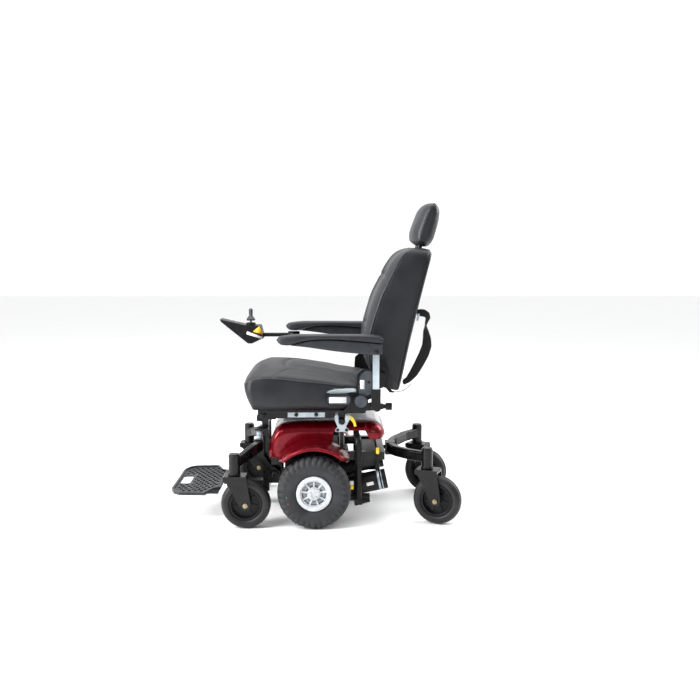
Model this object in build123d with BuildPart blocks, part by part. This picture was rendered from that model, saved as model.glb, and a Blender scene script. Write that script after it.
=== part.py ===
from build123d import *
import math
import os

# Power wheelchair, mid-wheel drive.  Millimetres.  +X points to the rear, -X is
# where the occupant faces, +Y is the occupant's right, +Z is up.  The origin is
# on the floor, midway between the drive wheels.

# ---- driving dimensions ------------------------------------------------------
SIDES = (("left", -1), ("right", 1))

DRIVE_R = 130.0
DRIVE_WIDTH = 74.0
DRIVE_Y = 272.0
RIM_R = 62.0
AXLE_R = 9.95

CASTER_R = 87.5
CASTER_WIDTH = 47.0
CASTER_HUB_R = 58.0
TRAIL = 40.0
FORK_GAP = 25.5
FORK_WALL = 5.0
STEM_R = 8.0
POST_R = 20.0
RUN_CLEARANCE = 0.05

FRONT_POST = (-280.6, 266.0)
FRONT_FORK_TOP = 190.0
REAR_POST = (403.5, 210.0)
REAR_FORK_TOP = 197.0
REAR_CASTER_TURN = {"left": -22.0, "right": -30.0}

MAST_X = (-198.0, -174.0)
MAST_Y = (48.0, 72.0)
SEAT_PIVOT = (-186.0, 384.0)
ARM_PIVOT = (-150.0, 150.0)
BEAM_PIVOT_Z = 228.0
RAIL_Y = (118.0, 143.0)
RAIL_Z = (212.0, 242.0)
SHROUD_HALF = 150.0
SHROUD_WALL = 5.0

FOOT_HINGE = (-330.0, 92.0)
FOOT_Z = 97.0

CUSHION_HALF = 222.0
BACK_HALF = 205.0
HEADREST_HALF = 125.0
RECLINE_PIVOT = (165.0, 449.0)
BACK_TILT = 13.3
HEADREST_START = (386.0, 992.0)

ARM_HINGE = (217.5, 631.0)
UPRIGHT_Y = (250.0, 256.0)
POD_Y = 265.0
POD_HALF = 38.0
STICK = (-269.0, 664.0)
ROD_Z = 632.0
CROSS_TUBE = (98.0, 361.0)
REAR_TUBE = (222.0, 425.0)


# ---- shared shapes -----------------------------------------------------------
def save(builder, name, place=Location()):
    piece = builder.part.moved(place)
    piece.label = name
    export_step(piece, f"parts/{name}.step")


def spread(side, inner, outer):
    """Y limits of something between two distances from the centre plane."""
    return (inner, outer) if side > 0 else (-outer, -inner)


def block(xs, ys, zs, mode=Mode.ADD):
    centre = (sum(xs) / 2, sum(ys) / 2, sum(zs) / 2)
    with Locations(centre):
        Box(xs[1] - xs[0], ys[1] - ys[0], zs[1] - zs[0], mode=mode)


def rod(start, end, radius, mode=Mode.ADD):
    run = Vector(*end) - Vector(*start)
    with BuildSketch(Plane(origin=start, z_dir=run)) as section:
        Circle(radius)
    extrude(section.sketch, amount=run.length, mode=mode)


def tube(start, end, outer, bore):
    rod(start, end, outer)
    rod(start, end, bore, mode=Mode.SUBTRACT)


def profile(points, ys, mode=Mode.ADD, rounding=0.0):
    """Extrude a closed XZ outline between two Y limits."""
    with BuildSketch(Plane.XZ.offset(-ys[1])) as section:
        with BuildLine():
            Polyline(*points, close=True)
        make_face()
        if rounding:
            fillet(section.vertices(), rounding)
    extrude(section.sketch, amount=ys[1] - ys[0], mode=mode)


def ring_section(centre, inner, outer, half, corner):
    """Turn a rounded rectangle about an axle that runs along Y."""
    x, y, z = centre
    with BuildSketch(Plane.YZ.offset(x)) as section:
        with Locations((y, z + (inner + outer) / 2)):
            RectangleRounded(2 * half, outer - inner, corner)
    revolve(section.sketch, axis=Axis((x, y, z), (0, 1, 0)), revolution_arc=360)


def bar(points, radius, width, height):
    """A rectangular bar along a bent, nearly level path."""
    with BuildLine() as path:
        FilletPolyline(*points, radius=radius)
    start = path.wire()
    with BuildSketch(Plane(origin=start @ 0, x_dir=(0, 0, 1), z_dir=start % 0)) as section:
        RectangleRounded(height, width, width / 4)
    sweep(section.sketch, path=start)


def round_bar(points, radius, section_radius):
    with BuildLine() as path:
        FilletPolyline(*points, radius=radius)
    start = path.wire()
    with BuildSketch(Plane(origin=start @ 0, z_dir=start % 0)) as section:
        Circle(section_radius)
    sweep(section.sketch, path=start)


def swivel_post(x, y, bottom):
    """Upright socket that a caster stem turns in, closed by a cap."""
    rod((x, y, bottom), (x, y, bottom + 70), POST_R)
    rod((x, y, bottom + 70), (x, y, bottom + 75), POST_R - 3)
    bore = STEM_R + RUN_CLEARANCE
    rod((x, y, bottom), (x, y, bottom + 58), bore, mode=Mode.SUBTRACT)


# ---- chassis -----------------------------------------------------------------
def chassis_frame():
    with BuildPart() as frame:
        for _, side in SIDES:
            block((-160, 255), spread(side, *RAIL_Y), RAIL_Z)
            block((-112, 86), spread(side, 110, 118), (84, 225))
            block((150, 230), spread(side, 108, 118), (169, 220))
            block((-174, -136), spread(side, *MAST_Y), (195, 215))
            block((-174, -112), spread(side, *MAST_Y), (107, 131))
            block((-172, -128), spread(side, 60, 72), (107, 215))
            x, z = ARM_PIVOT
            rod((x, side * 66, z), (x, side * 118, z), 9)
            block((92, 104), spread(side, 158, 170), (250, 340))
        block((-160, -136), (-143, 143), (195, 219))
        block((230, 255), (-143, 143), RAIL_Z)
        block((88, 108), (-170, 170), (242, 262))
        block((-116, 90), (-114, 114), (84, 88))
        block((-116, -112), (-114, 114), (84, 131))
        block((150, 230), (-118, 118), (169, 174))
        rod((250, 0, BEAM_PIVOT_Z), (309, 0, BEAM_PIVOT_Z), 8)
        rod((300.5, 0, BEAM_PIVOT_Z), (309, 0, BEAM_PIVOT_Z), 13)
    save(frame, "chassis_frame")


def front_mast():
    """Twin uprights that carry the seat's front pivot and the footplate arm."""
    px, pz = SEAT_PIVOT
    fx, fz = FOOT_HINGE
    with BuildPart() as mast:
        for _, side in SIDES:
            block(MAST_X, spread(side, *MAST_Y), (77, 396))
            block((-222, -174), spread(side, 72, 112), (316, 322))
            rod((-205, side * 94, 322), (-205, side * 94, 330), 8)
            block((fx - 10, -312), spread(side, 14, 22), (80, 104))
        block((-196, -176), (-48, 48), (330, 352))
        block(MAST_X, (-48, 48), (80, 104))
        block((-312, -198), (-22, 22), (80, 104))
        rod((px, -182, pz), (px, 182, pz), 8)
        rod((fx, -22, fz), (fx, 22, fz), 4)
        rod((-224, 0, 341), (-196, 0, 341), 13)
    save(mast, "front_mast")


def batteries():
    with BuildPart() as pair:
        for _, side in SIDES:
            block((-108, 82), spread(side, 2, 108), (88.3, 250))
        fillet(pair.edges().filter_by(Axis.Z), 6)
    save(pair, "batteries")


def shroud_outline():
    """Side outline of the cover: it follows the wheel arch, then steps up."""
    arch = DRIVE_R + 30
    edge = []
    for degrees in (135, 120, 105, 90, 78, 66):
        angle = math.radians(degrees)
        edge.append((arch * math.cos(angle), DRIVE_R + arch * math.sin(angle)))
    front = [(-171, 221), (-113, 224)]
    step = [(66, 325), (185, 319), (199, 290), (243, 290), (257, 306)]
    top = [(236, 337), (199, 348), (-52, 349), (-113, 342), (-145, 323), (-170, 261)]
    return front + edge + step + top


def shroud():
    """Hollow cover over the batteries, with an arched fender on each side."""
    inner_half = SHROUD_HALF - SHROUD_WALL
    with BuildPart() as cover:
        profile(shroud_outline(), (-SHROUD_HALF, SHROUD_HALF))
        profile(
            [(-166, 215), (-110, 215), (-60, 262), (72, 262), (72, 316), (186, 314), (194, 285),
             (244, 285), (251, 305), (232, 332), (198, 343), (-51, 344), (-110, 337),
             (-141, 320), (-165, 261)],
            (-inner_half, inner_half),
            mode=Mode.SUBTRACT,
        )
        for _, side in SIDES:
            ys = spread(side, SHROUD_HALF - 2, 300)
            arch = []
            for radius, sweep_range in ((160, range(135, 39, -6)), (166, range(41, 138, 6))):
                for degrees in sweep_range:
                    angle = math.radians(degrees)
                    arch.append((radius * math.cos(angle), DRIVE_R + radius * math.sin(angle)))
            profile(arch, ys)
            block((84, 130), spread(side, SHROUD_HALF - 3, 173), (225, 300), mode=Mode.SUBTRACT)
    save(cover, "shroud")


def shroud_top_panel():
    top = [(-153, 311), (-149, 327), (-118, 348), (-50, 355), (190, 361), (222, 354), (244, 334)]
    under = [(237, 337.5), (199.2, 348.6), (-52, 349.4), (-113.3, 342.4), (-145.4, 323.4),
             (-150, 311.5)]
    with BuildPart() as panel:
        profile(top + under, (-95, 95))
        x, z = CROSS_TUBE
        rod((x, -96, z), (x, 96, z), 13, mode=Mode.SUBTRACT)
    save(panel, "shroud_top_panel")


def drive_motor(name, side):
    """Worm gearbox on the axle, with its motor leaning back and up."""
    lean = math.radians(12)
    front = (70, side * 156, 107)
    length = 195
    rear = (front[0] + length * math.cos(lean), front[1], front[2] + length * math.sin(lean))
    with BuildPart() as motor:
        with BuildSketch(Plane.XZ.offset(-max(spread(side, 120, 215)))) as housing:
            with Locations((0, DRIVE_R)):
                Circle(46)
            with Locations((45, 118)):
                Rectangle(90, 84)
        extrude(housing.sketch, amount=95)
        rod((0, side * 214, DRIVE_R), (0, side * 290, DRIVE_R), AXLE_R)
        rod(front, rear, 36)
        block((70, 200), spread(side, 130, 168), (66, 84))
        profile([(146, 70), (200, 70), (201, 63), (146, 48)], spread(side, 125, 172))
        block((220, 236), spread(side, 150, 158), (165, 198))
        rod((228, side * 157, 190), (228, side * 169, 190), 3)
    save(motor, f"drive_motor_{name}")


def controller_box():
    with BuildPart() as box:
        block((165, 225), (-100, 100), (174.3, 236))
        fillet(box.edges().filter_by(Axis.Z), 6)
        for y in (-60, -20, 20, 60):
            block((225, 236), (y - 13, y + 13), (183, 203))
    save(box, "controller_box")


def seat_saddles():
    """Y-shaped plates with a notch that the seat's cross tube drops into."""
    outline = [
        (74, 324), (124, 324), (122, 334), (113, 342), (127, 372), (128, 384), (120, 391),
        (110, 386), (109.5, 361), (86.5, 361), (85, 384), (78, 388), (72, 381), (72, 368),
        (83, 342), (76, 334),
    ]
    x, z = CROSS_TUBE
    with BuildPart() as saddles:
        for _, side in SIDES:
            ys = spread(side, 170, 176)
            profile(outline, ys)
            rod((x, ys[0], z), (x, ys[1], z), 11.5, mode=Mode.SUBTRACT)
            pin = spread(side, 176, 181)
            rod((119, pin[0], 380), (119, pin[1], 380), 3)
    save(saddles, "seat_saddles")


def motor_conduits():
    with BuildPart() as conduits:
        for _, side in SIDES:
            y = side * 206.5
            round_bar([(157, y, 80), (157, y, 300), (151, side * 153, 310)], 20, 12.5)
            block((143, 171), spread(side, 172.3, 219), (66, 86))
    save(conduits, "motor_conduits")


# ---- wheels ------------------------------------------------------------------
def drive_wheel(name, side):
    centre = (0, side * DRIVE_Y, DRIVE_R)
    half = DRIVE_WIDTH / 2
    with BuildPart() as tyre:
        ring_section(centre, RIM_R, DRIVE_R, half, 27)
    save(tyre, f"drive_tyre_{name}")

    outer_face = side * (DRIVE_Y + 33)
    spoke_y = spread(side, DRIVE_Y + 18, DRIVE_Y + 26)
    with BuildPart() as rim:
        ring_section(centre, 47, RIM_R, 34, 3)
        with BuildSketch(Plane.XZ.offset(-spoke_y[1])) as web:
            with Locations((0, DRIVE_R)):
                Circle(50)
                Circle(43, mode=Mode.SUBTRACT)
                Circle(24)
                with PolarLocations(33, 9, start_angle=90):
                    Rectangle(26, 6)
        extrude(web.sketch, amount=8)
        rod((0, side * (DRIVE_Y + 13), DRIVE_R), (0, side * (DRIVE_Y + 18.5), DRIVE_R), 49)
        rod((0, side * (DRIVE_Y - 20), DRIVE_R), (0, outer_face, DRIVE_R), 20)
        rod((0, side * (DRIVE_Y - 20), DRIVE_R), (0, side * 292, DRIVE_R), AXLE_R + RUN_CLEARANCE,
            mode=Mode.SUBTRACT)
        for degrees in range(18, 378, 72):
            angle = math.radians(degrees)
            x = 13 * math.cos(angle)
            z = DRIVE_R + 13 * math.sin(angle)
            rod((x, outer_face, z), (x, outer_face + side * 3, z), 3.4)
    save(rim, f"drive_rim_{name}")


def caster(name, x, y, top, turn=0.0):
    """One caster, made with its swivel axis on the origin, then put in place."""
    place = Location((x, y, 0), (0, 0, turn))
    outer = FORK_GAP + FORK_WALL
    leg = [
        (-38, top - 3), (-35, top), (42, top), (46, top - 4), (46, top - 16),
        (TRAIL + 18, CASTER_R + 8), (TRAIL + 17, CASTER_R - 8), (TRAIL + 8, CASTER_R - 17),
        (TRAIL - 8, CASTER_R - 17), (TRAIL - 17, CASTER_R - 6), (-26, top - 22),
        (-38, top - 16),
    ]
    hub = (TRAIL, 0, CASTER_R)
    with BuildPart() as fork:
        profile(leg, (-outer, outer))
        block((-60, 120), (-FORK_GAP, FORK_GAP), (0, top - 11), mode=Mode.SUBTRACT)
        rod((0, 0, top - 4), (0, 0, top + 1.5), 14)
        rod((0, 0, top - 4), (0, 0, top + 54), STEM_R)
        rod((TRAIL, -outer - 5, CASTER_R), (TRAIL, outer + 5, CASTER_R), 5)
        for end in (-outer - 5, outer):
            rod((TRAIL, end, CASTER_R), (TRAIL, end + 5, CASTER_R), 9)
    save(fork, f"caster_fork_{name}", place)

    with BuildPart() as tyre:
        ring_section(hub, CASTER_HUB_R, CASTER_R, CASTER_WIDTH / 2, 12)
    save(tyre, f"caster_tyre_{name}", place)

    with BuildPart() as wheel:
        ring_section(hub, 50, CASTER_HUB_R, 19, 2)
        with BuildSketch(Plane.XZ.offset(-5)) as web:
            with Locations((TRAIL, CASTER_R)):
                Circle(52)
                Circle(46, mode=Mode.SUBTRACT)
                Circle(20)
                with PolarLocations(33, 7, start_angle=90):
                    Rectangle(34, 9)
        extrude(web.sketch, amount=10)
        rod((TRAIL, -2, CASTER_R), (TRAIL, 2, CASTER_R), 52)
        rod((TRAIL, -22, CASTER_R), (TRAIL, 22, CASTER_R), 16)
        rod((TRAIL, -22, CASTER_R), (TRAIL, 22, CASTER_R), 5 + RUN_CLEARANCE, mode=Mode.SUBTRACT)
    save(wheel, f"caster_hub_{name}", place)


# ---- suspension --------------------------------------------------------------
def front_arm(name, side):
    """Trailing leg from the lower pivot, with a curved arm out to the post."""
    x, z = ARM_PIVOT
    px, py = FRONT_POST
    leg = [
        (-222, 280), (-190, 280), (-190, 221), (-170, 190), (-132, 160), (-132, 140),
        (-142, 131), (-158, 131), (-168, 140), (-204, 196), (-222, 226),
    ]
    ys = spread(side, 82, 106)
    with BuildPart() as arm:
        profile(leg, ys)
        rod((x, ys[0], z), (x, ys[1], z), 9 + RUN_CLEARANCE, mode=Mode.SUBTRACT)
        bar([(-206, side * 98, 257), (-222, side * 160, 256), (-256, side * 226, 240),
             (px, side * (py - 6), 230)], 30, 30, 38)
        swivel_post(px, side * py, FRONT_FORK_TOP + 1.8)
    save(arm, f"front_arm_{name}")

    with BuildPart() as spring:
        tube((-205, side * 94, 280.5), (-205, side * 94, 315.5), 13, 9)
    save(spring, f"front_spring_{name}")


def rear_beam():
    px, py = REAR_POST
    bottom = REAR_FORK_TOP + 1.8
    with BuildPart() as beam:
        block((263, 300), (-26, 26), (203, 250))
        for _, side in SIDES:
            bar([(281, side * 18, 230), (300, side * 80, 231), (345, side * 150, 235),
                 (px - 4, side * (py - 8), 238)], 40, 28, 38)
            swivel_post(px, side * py, bottom)
        rod((262, 0, BEAM_PIVOT_Z), (301, 0, BEAM_PIVOT_Z), 8 + RUN_CLEARANCE, mode=Mode.SUBTRACT)
    save(beam, "rear_beam")


# ---- footplate ---------------------------------------------------------------
def footplate_half_width(x):
    """Half width of the plate at a distance x along the chair."""
    if x < -490:
        return 196 - 56 * ((-490 - x) / 38) ** 2
    if x < -398:
        return 200.0
    return 200 - 75 * (x + 398) / 48


def footplate():
    fx, fz = FOOT_HINGE
    near = [(-350, 125), (-372, 136), (-398, 200), (-490, 196), (-513, 176), (-527, 140)]
    outline = near + [(x, -y) for x, y in reversed(near)]
    with BuildPart() as plate:
        with BuildSketch(Plane.XY.offset(FOOT_Z)) as face:
            with BuildLine():
                Polyline(*outline, close=True)
            make_face()
            fillet(face.vertices().group_by(Axis.X)[0], 20)
        extrude(face.sketch, amount=6)
        with BuildSketch(Plane.XY.offset(FOOT_Z)) as lip:
            add(face.sketch)
            offset(amount=-9, mode=Mode.SUBTRACT)
        extrude(lip.sketch, amount=11)
        with BuildSketch(Plane.XY.offset(FOOT_Z - 1)) as holes:
            for row in range(14):
                x = -502 + 11 * row
                shift = 20 * (row % 2)
                for column in range(-5, 6):
                    y = 40 * column + shift
                    in_window = x < -460 and abs(y) < 72
                    if abs(y) + 26 < footplate_half_width(x - 10) and not in_window:
                        with Locations((x, y)):
                            Polygon((-8, 0), (0, 14.5), (8, 0), (0, -14.5))
            with Locations((-493, 0)):
                RectangleRounded(38, 112, 10)
        extrude(holes.sketch, amount=9, mode=Mode.SUBTRACT)
        block((-352, fx), (-13, 13), (87, FOOT_Z + 6))
        rod((fx, -13, fz), (fx, 13, fz), 10)
        rod((fx, -13, fz), (fx, 13, fz), 4 + RUN_CLEARANCE, mode=Mode.SUBTRACT)
        for _, side in SIDES:
            profile([(-440, FOOT_Z + 1), (-352, FOOT_Z + 1), (-360, 80), (-425, 80)],
                    spread(side, 116, 120))
    save(plate, "footplate")


# ---- seat --------------------------------------------------------------------
def seat_frame():
    px, pz = SEAT_PIVOT
    x, z = CROSS_TUBE
    rx, rz = REAR_TUBE
    bx, bz = RECLINE_PIVOT
    with BuildPart() as frame:
        block((-200, 115), (-212, 212), (402, 410))
        rod((x, -182, z), (x, 182, z), 9.5)
        rod((rx, -250, rz), (rx, 250, rz), 14)
        for _, side in SIDES:
            block((-140, 73), spread(side, 146, 166), (372, 402))
            block((-205, -140), spread(side, 146, 166), (368, 402))
            block((84, 112), spread(side, 146, 156), (352, 402))
            profile([(90, 402), (118, 402), (236, 412), (236, 436), (208, 438), (106, 410)],
                    spread(side, 196, 212))
            profile([(96, 402), (180, 402), (192, 430), (190, 466), (148, 472), (128, 440)],
                    spread(side, 223, 229))
            block((96, 118), spread(side, 210, 224), (402, 410))
            rod((bx, side * 229, bz), (bx, side * 246, bz), 8)
            block((201, 234), spread(side, 247, 259), (418, 492))
            block((205.5, 229.5), spread(side, UPRIGHT_Y[0] - 0.2, UPRIGHT_Y[1] + 0.2),
                  (440, 493), mode=Mode.SUBTRACT)
            block((230, 243), spread(side, 240, 254), (421, 440))
            rod((234, side * 246, 430), (244, side * 246, 430), 4.05, mode=Mode.SUBTRACT)
        rod((px, -170, pz), (px, 170, pz), 8 + RUN_CLEARANCE, mode=Mode.SUBTRACT)
    save(frame, "seat_frame")


def seat_rails():
    """Bright slide rails under the seat and a strip above the recline lever."""
    with BuildPart() as rails:
        for _, side in SIDES:
            block((-97, 37), spread(side, 166.2, 169), (376, 396))
            for x in (-66, 6):
                y = spread(side, 169, 172.5)
                rod((x, y[0], 386), (x, y[1], 386), 6)
            profile([(40, 490), (148, 490), (150, 478), (60, 478)], spread(side, 223, 228))
    save(rails, "seat_rails")


def seat_cushion():
    outline = [
        (-212, 410.3), (109, 412), (204, 452), (196, 500), (100, 519), (0, 534), (-90, 552),
        (-155, 552), (-222, 532), (-247, 505), (-240, 470),
    ]
    with BuildPart() as cushion:
        profile(outline, (-CUSHION_HALF, CUSHION_HALF), rounding=6)
        side_faces = cushion.faces().filter_by(Axis.Y)
        fillet(side_faces.edges().group_by(Axis.Z)[-1], 14)
    save(cushion, "seat_cushion")


def armrest_uprights():
    x, z = ARM_HINGE
    with BuildPart() as uprights:
        for _, side in SIDES:
            ys = spread(side, *UPRIGHT_Y)
            block((206, 229), ys, (441, z))
            rod((x, ys[0], z), (x, ys[1], z), 11.5)
            pin = spread(side, 256, 290)
            rod((x, pin[0], z), (x, pin[1], z), 6)
    save(uprights, "armrest_uprights")


def recliner_base_cover():
    x, z = RECLINE_PIVOT
    with BuildPart() as cover:
        for _, side in SIDES:
            ys = spread(side, 250.5, 258)
            rod((x, ys[0], z), (x, ys[1], z), 25)
            stub = spread(side, 246, 251)
            rod((x, stub[0], z), (x, stub[1], z), 8)
    save(cover, "recliner_base_cover")


def recline_lever():
    """Paddle grip on a ring that turns on the recliner's left pivot pin."""
    x, z = RECLINE_PIVOT
    with BuildPart() as lever:
        with BuildSketch(Plane.XZ.offset(247.2)) as grip:
            with Locations((88, 455)):
                SlotOverall(92, 42)
        extrude(grip.sketch, amount=13)
        block((120, x), (-249.8, -247.2), (444, 462))
        rod((x, -249.8, z), (x, -247.2, z), 20)
        rod((x, -250, z), (x, -247, z), 8 + RUN_CLEARANCE, mode=Mode.SUBTRACT)
    save(lever, "recline_lever")


def width_knob(name, side):
    y = side * 246
    with BuildPart() as knob:
        with BuildSketch(Plane.YZ.offset(252)) as star:
            with Locations((y, 430)):
                Circle(11)
                with PolarLocations(10, 6):
                    Circle(3.6)
        extrude(star.sketch, amount=22)
        rod((243.4, y, 430), (253, y, 430), 8)
        rod((236, y, 430), (244, y, 430), 4)
    save(knob, f"width_knob_{name}")


# ---- backrest ----------------------------------------------------------------
def headrest_point(distance, y):
    """Point on a headrest post's axis, measured up from the backrest's top."""
    tilt = math.radians(BACK_TILT)
    x, z = HEADREST_START
    return (x + distance * math.sin(tilt), y, z + distance * math.cos(tilt))


def backrest_cushion():
    outline = [
        (248, 489), (206, 546), (193, 620), (198, 680), (232, 795), (267, 872), (302, 941),
        (330, 974), (352, 985), (385, 984), (408.5, 966), (360.3, 779), (336.3, 680), (295.3, 482),
    ]
    with BuildPart() as cushion:
        profile(outline, (-BACK_HALF, BACK_HALF))
        for y in (-45, 45):
            rod(headrest_point(20, y), headrest_point(-145, y), 9, mode=Mode.SUBTRACT)
    save(cushion, "backrest_cushion")


def backrest_rear_cover():
    outline = [
        (305, 480), (346, 677), (370, 776), (419, 962), (409, 966), (360.6, 779),
        (336.6, 680), (295.6, 482),
    ]
    with BuildPart() as cover:
        profile(outline, (-200, 200))
    save(cover, "backrest_rear_cover")


def back_frame():
    """Recliner arms that hold the backrest, and sleeves for the headrest."""
    x, z = RECLINE_PIVOT
    arm = [
        (146, 452), (152, 545), (170, 560), (204, 560), (262, 540), (262, 502), (200, 480),
        (186, 446), (165, 430), (150, 436),
    ]
    with BuildPart() as frame:
        for _, side in SIDES:
            ys = spread(side, 230, 236)
            profile(arm, ys)
            rod((x, ys[0], z), (x, ys[1], z), 8 + RUN_CLEARANCE, mode=Mode.SUBTRACT)
            block((238, 262), spread(side, BACK_HALF, 231), (504, 538))
        for y in (-45, 45):
            tube(headrest_point(-2, y), headrest_point(-140, y), 9, 6.05)
    save(frame, "back_frame")


def recliner_cover():
    outline = [(153, 486), (156, 530), (176, 561), (208, 561), (208, 463), (170, 463)]
    with BuildPart() as cover:
        for _, side in SIDES:
            profile(outline, spread(side, 236.5, 245.5))
    save(cover, "recliner_cover")


def lap_belt():
    """Stowed webbing: a loop behind the backrest and a long fall to its foot."""
    upper = [
        (369, 764), (374, 768), (400, 769), (419, 748), (419, 740), (401, 712), (395, 708),
        (395, 714), (413, 744), (397, 764), (376, 763), (369, 759),
    ]
    lower = [
        (395, 715), (401, 715), (420, 642), (418, 626), (352, 506), (322, 492), (311, 500),
        (342, 520), (352, 540), (396, 640),
    ]
    with BuildPart() as belt:
        profile(upper, (-168, -138))
        profile(lower, (-156, -150))
    save(belt, "lap_belt")


def belt_cable():
    path = [(268, -153, 478), (274, -153, 468), (296, -153, 466), (318, -153, 470),
            (336, -153, 481), (347, -153, 494)]
    with BuildPart() as cable:
        round_bar(path, 6, 1.6)
    save(cable, "belt_cable")


def headrest():
    outline = [
        (354, 1012), (359, 1054), (381, 1114), (400, 1138), (420, 1145), (444, 1138),
        (455, 1112), (436, 1018), (418, 992), (402, 986), (376, 994),
    ]
    with BuildPart() as cushion:
        profile(outline, (-HEADREST_HALF, HEADREST_HALF), rounding=4)
        for y in (-45, 45):
            rod(headrest_point(-10, y), headrest_point(60, y), 6, mode=Mode.SUBTRACT)
    save(cushion, "headrest_cushion")
    with BuildPart() as posts:
        for y in (-45, 45):
            rod(headrest_point(-125, y), headrest_point(60, y), 6)
    save(posts, "headrest_posts")


# ---- armrests and hand control -----------------------------------------------
def armrest(name, side):
    x, z = ARM_HINGE
    pad_outline = [
        (-127, 664), (-118, 680), (-46, 686), (192, 685), (234, 680), (241, 672), (238, 650),
        (230, 647), (40, 667), (-67, 648), (-108, 647), (-122, 654),
    ]
    shell_outline = [
        (-91, 645), (-67, 647.6), (40, 666.6), (230, 646.6), (237, 640), (237, 620), (161, 616),
        (57, 625),
    ]
    with BuildPart() as pad:
        profile(pad_outline, spread(side, 236, 299))
    save(pad, f"armrest_pad_{name}")
    ys = spread(side, 258, 297)
    with BuildPart() as shell:
        profile(shell_outline, ys)
        if name == "right":
            block((-118, -72), (252, 278), (616, 645.6))
            rod((-119, POD_Y, ROD_Z), (-60, POD_Y, ROD_Z), 8.05, mode=Mode.SUBTRACT)
        inner = spread(side, 257, 291)
        rod((x, inner[0], z), (x, inner[1], z), 6 + RUN_CLEARANCE, mode=Mode.SUBTRACT)
    save(shell, f"armrest_shell_{name}")


def controller_pod():
    x, z = STICK
    outline = [
        (-390, 697), (-386, 688), (-340, 650), (-278, 600), (-262, 600), (-215, 622),
        (-228, 671), (-290, 674),
    ]
    with BuildPart() as pod:
        profile(outline, (POD_Y - POD_HALF, POD_Y + POD_HALF))
        for bx in (-325, -352):
            surface = 674 + (-290 - bx) * 0.23
            rod((bx, POD_Y, surface - 7), (bx, POD_Y, surface + 8), 5.05, mode=Mode.SUBTRACT)
        rod((x, POD_Y, 671), (x, POD_Y, 681), 19)
        rod((x, POD_Y, 652), (x, POD_Y, 682), 14.5, mode=Mode.SUBTRACT)
        for end in (-1, 1):
            rod((x, POD_Y + end * 11, z), (x, POD_Y + end * 16, z), 3.05, mode=Mode.SUBTRACT)
        rod((-225, POD_Y, ROD_Z), (-75, POD_Y, ROD_Z), 8)
    save(pod, "controller_pod")


def joystick():
    x, z = STICK
    with BuildPart() as gimbal:
        rod((x, POD_Y - 15.8, z), (x, POD_Y + 15.8, z), 3)
    save(gimbal, "joystick_gimbal")
    with BuildPart() as stick:
        rod((x, POD_Y, z + 6), (x, POD_Y, 692), 4)
        with BuildSketch(Plane.XZ.offset(-POD_Y)) as half:
            with BuildLine():
                Polyline((x, 690), (x + 16, 690), (x + 18, 696), (x + 10, 706), (x + 7.5, 712),
                         (x + 8.5, 732), (x + 6, 738), (x, 739), close=True)
            make_face()
        revolve(half.sketch, axis=Axis((x, POD_Y, 0), (0, 0, 1)), revolution_arc=360)
    save(stick, "joystick")
    for name, bx in (("power_button", -325), ("horn_button", -352)):
        surface = 674 + (-290 - bx) * 0.23
        with BuildPart() as button:
            rod((bx, POD_Y, surface - 4.5), (bx, POD_Y, surface + 2.5), 5)
        save(button, name)


# ---- small levers ------------------------------------------------------------
def seat_latch_lever():
    outline = [(114, 386), (126, 386), (140, 376), (148, 360), (151, 345), (142, 344),
               (138, 358), (130, 368), (114, 374)]
    with BuildPart() as lever:
        profile(outline, (-180, -176.4))
        rod((119, -181, 380), (119, -176, 380), 3.05, mode=Mode.SUBTRACT)
    save(lever, "seat_latch_lever")


def freewheel_lever(name, side):
    ys = spread(side, 159, 165)
    with BuildPart() as lever:
        profile([(221, 183), (235, 183), (235, 258), (231, 263), (225, 263), (222, 258)], ys)
        rod((228, ys[0], 190), (228, ys[1], 190), 3.05, mode=Mode.SUBTRACT)
    save(lever, f"freewheel_lever_{name}")


def build_chair():
    os.makedirs("parts", exist_ok=True)
    chassis_frame()
    front_mast()
    batteries()
    shroud()
    shroud_top_panel()
    controller_box()
    seat_saddles()
    motor_conduits()
    rear_beam()
    footplate()
    seat_frame()
    seat_rails()
    seat_cushion()
    armrest_uprights()
    recliner_base_cover()
    recline_lever()
    backrest_cushion()
    backrest_rear_cover()
    back_frame()
    recliner_cover()
    lap_belt()
    belt_cable()
    headrest()
    controller_pod()
    joystick()
    seat_latch_lever()
    for name, side in SIDES:
        drive_motor(name, side)
        drive_wheel(name, side)
        front_arm(name, side)
        armrest(name, side)
        width_knob(name, side)
        freewheel_lever(name, side)
        caster(f"front_{name}", FRONT_POST[0], side * FRONT_POST[1], FRONT_FORK_TOP)
        caster(f"rear_{name}", REAR_POST[0], side * REAR_POST[1], REAR_FORK_TOP,
               REAR_CASTER_TURN[name])


build_chair()
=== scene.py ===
import math
import bpy
import bmesh
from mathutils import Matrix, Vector, noise


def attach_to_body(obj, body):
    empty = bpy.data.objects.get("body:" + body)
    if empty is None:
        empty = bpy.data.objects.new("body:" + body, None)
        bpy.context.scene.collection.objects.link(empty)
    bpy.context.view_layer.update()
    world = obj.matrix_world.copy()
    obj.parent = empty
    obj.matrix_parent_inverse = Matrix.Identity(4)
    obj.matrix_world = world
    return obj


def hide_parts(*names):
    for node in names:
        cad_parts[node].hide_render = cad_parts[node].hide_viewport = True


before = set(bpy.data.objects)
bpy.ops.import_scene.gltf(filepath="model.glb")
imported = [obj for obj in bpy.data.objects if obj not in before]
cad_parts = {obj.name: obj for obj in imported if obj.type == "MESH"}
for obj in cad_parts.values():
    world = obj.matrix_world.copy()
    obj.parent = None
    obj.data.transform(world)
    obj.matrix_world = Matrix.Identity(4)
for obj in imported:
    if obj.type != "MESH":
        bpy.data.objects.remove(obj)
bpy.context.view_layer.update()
MM = 0.001
SIDES = (("left", -1), ("right", 1))
UP = (0, 0, 1)
FLOOR_HALF = 14
DRIVE_AXLE_HEIGHT = 130
DRIVE_TRACK = 272
CASTER_TRAIL = 40
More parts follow.
